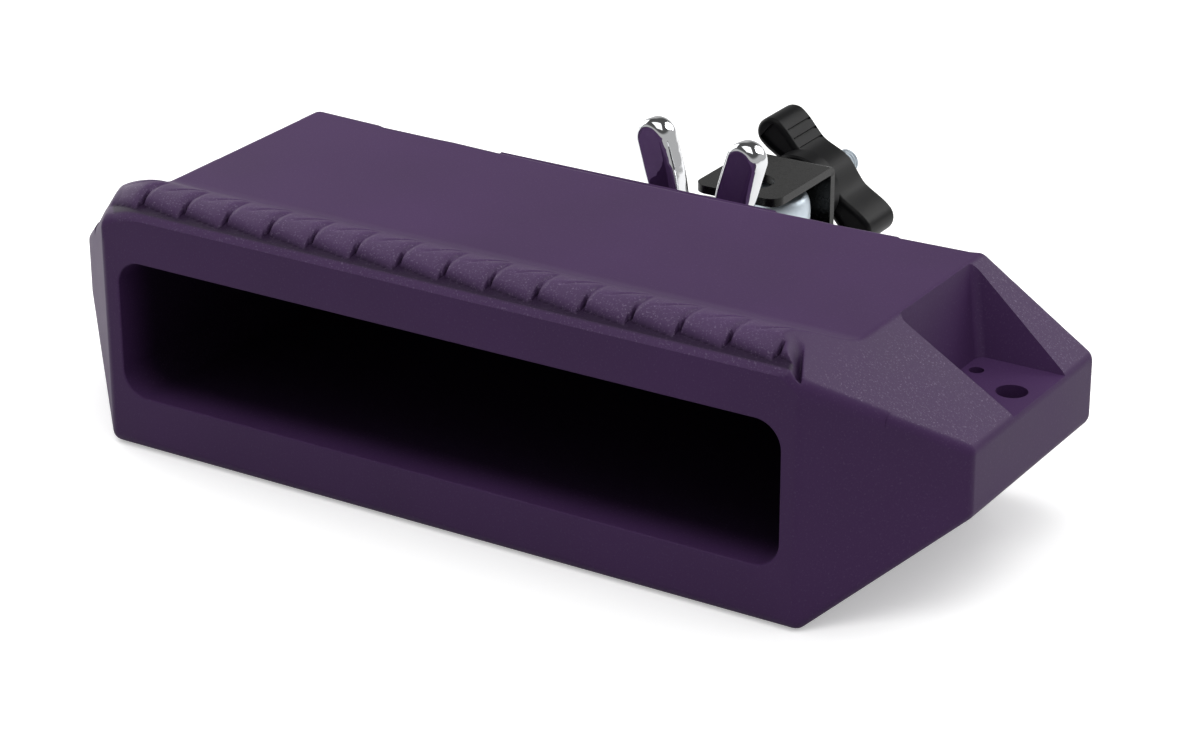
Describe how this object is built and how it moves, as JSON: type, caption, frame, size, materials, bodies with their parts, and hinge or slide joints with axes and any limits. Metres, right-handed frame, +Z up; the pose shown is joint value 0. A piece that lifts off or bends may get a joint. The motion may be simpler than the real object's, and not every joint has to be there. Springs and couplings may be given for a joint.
{
  "type": "woodblock",
  "caption": "Moulded percussion block with a wide slot mouth, a rope-edged striking ridge, ears at both ends and a wing-nut clamp for a stand rod.",
  "frame": {"origin": "centre of the flat underside of the block, on the surface it stands on", "axes": "+Z up, +X along the long striking edge, -Y towards the open mouth, +Y towards the rod clamp"},
  "size_m": [0.2854, 0.233, 0.0771],
  "materials": {
    "purple_plastic": "moulded, fine grain",
    "black_coated_steel": "gloss powder coat",
    "fibre": "pressed fibre",
    "zinc_steel": "bright zinc plate",
    "chrome_plate": "polished",
    "black_nylon": "moulded, satin"
  },
  "bodies": {
    "block": {"block_body": "purple_plastic"},
    "clamp_bracket": {"bracket": "black_coated_steel", "swivel_pad": "fibre", "swivel_bolt": "zinc_steel", "flat_washer": "zinc_steel", "spring_washer": "zinc_steel", "clamp_washer": "zinc_steel"},
    "swivel_nut": {"chrome_wing_nut": "chrome_plate"},
    "eye": {"eye_bolt": "zinc_steel"},
    "clamp_nut": {"clamp_wing_nut": "black_nylon", "nut_insert": "zinc_steel"}
  },
  "joints": [
    {"name": "bracket_swivel", "type": "hinge", "parent": "block", "child": "clamp_bracket", "pos_m": [0, 0.08827, 0.0249], "axis": [0, 0, 1], "range_deg": [-40, 40]},
    {"name": "swivel_nut_turn", "type": "hinge", "parent": "clamp_bracket", "child": "swivel_nut", "pos_m": [0, 0.08827, 0.0373], "axis": [0, 0, 1], "continuous": true},
    {"name": "clamp_nut_turn", "type": "hinge", "parent": "clamp_bracket", "child": "clamp_nut", "pos_m": [0, 0.14637, 0.0337], "axis": [0, 1, 0], "range_deg": [0, 2700]},
    {"name": "eye_travel", "type": "slide", "parent": "clamp_bracket", "child": "eye", "axis": [0, -1, 0], "range_m": [0, 0.01058]}
  ],
  "couplings": [
    {"joint": "clamp_nut_turn", "follows": "eye_travel", "rad_per_m": 4453}
  ]
}
